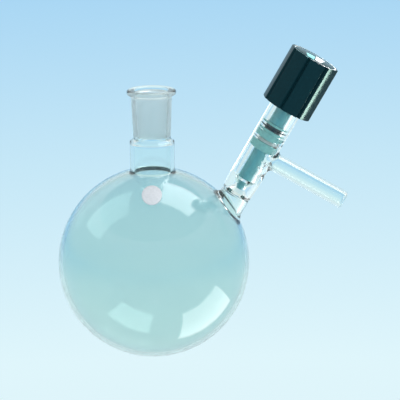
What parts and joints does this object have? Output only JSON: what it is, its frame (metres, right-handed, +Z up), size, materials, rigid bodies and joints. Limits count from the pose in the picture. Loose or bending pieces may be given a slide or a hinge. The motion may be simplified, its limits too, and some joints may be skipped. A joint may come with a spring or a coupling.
{
  "type": "round bottom storage flask",
  "caption": "Round bottom glass storage flask with a ground joint socket on its neck and a greaseless screw valve with a hose arm leaning off its shoulder.",
  "frame": {"origin": "lowest point of the bulb, on the neck's axis", "axes": "+Z up the neck; the valve and its side arm lean to +X in the XZ plane"},
  "size_m": [0.1287, 0.085, 0.1394],
  "materials": {
    "borosilicate_glass": "clear, fire polished",
    "white_enamel": "fired enamel, satin",
    "ptfe": "waxy, turned",
    "pale_rubber": "smooth",
    "black_rubber": "smooth",
    "washer_plastic": "moulded",
    "stainless_steel": "bright",
    "black_plastic": "moulded, semi-gloss",
    "glossy_black_plastic": "high gloss"
  },
  "bodies": {
    "flask": {"bulb": "borosilicate_glass", "neck_tube": "borosilicate_glass", "ground_joint": "borosilicate_glass", "valve_barrel": "borosilicate_glass", "side_arm": "borosilicate_glass", "marking_spot": "white_enamel"},
    "plug": {"plug": "ptfe", "lower_oring": "pale_rubber", "upper_oring": "black_rubber", "thrust_washer": "washer_plastic", "retaining_washer": "stainless_steel", "retaining_screw": "stainless_steel"},
    "knob": {"knob": "black_plastic", "knob_cap": "glossy_black_plastic"}
  },
  "joints": [
    {"name": "plug_lift", "type": "slide", "parent": "flask", "child": "plug", "axis": [0.5, 0, 0.866], "range_m": [0, 0.0075]},
    {"name": "knob_turn", "type": "hinge", "parent": "plug", "child": "knob", "pos_m": [0.03851, 0, 0.07621], "axis": [0.5, 0, 0.866], "range_deg": [0, 900]}
  ],
  "couplings": [
    {"joint": "knob_turn", "follows": "plug_lift", "rad_per_m": 2094.4}
  ]
}
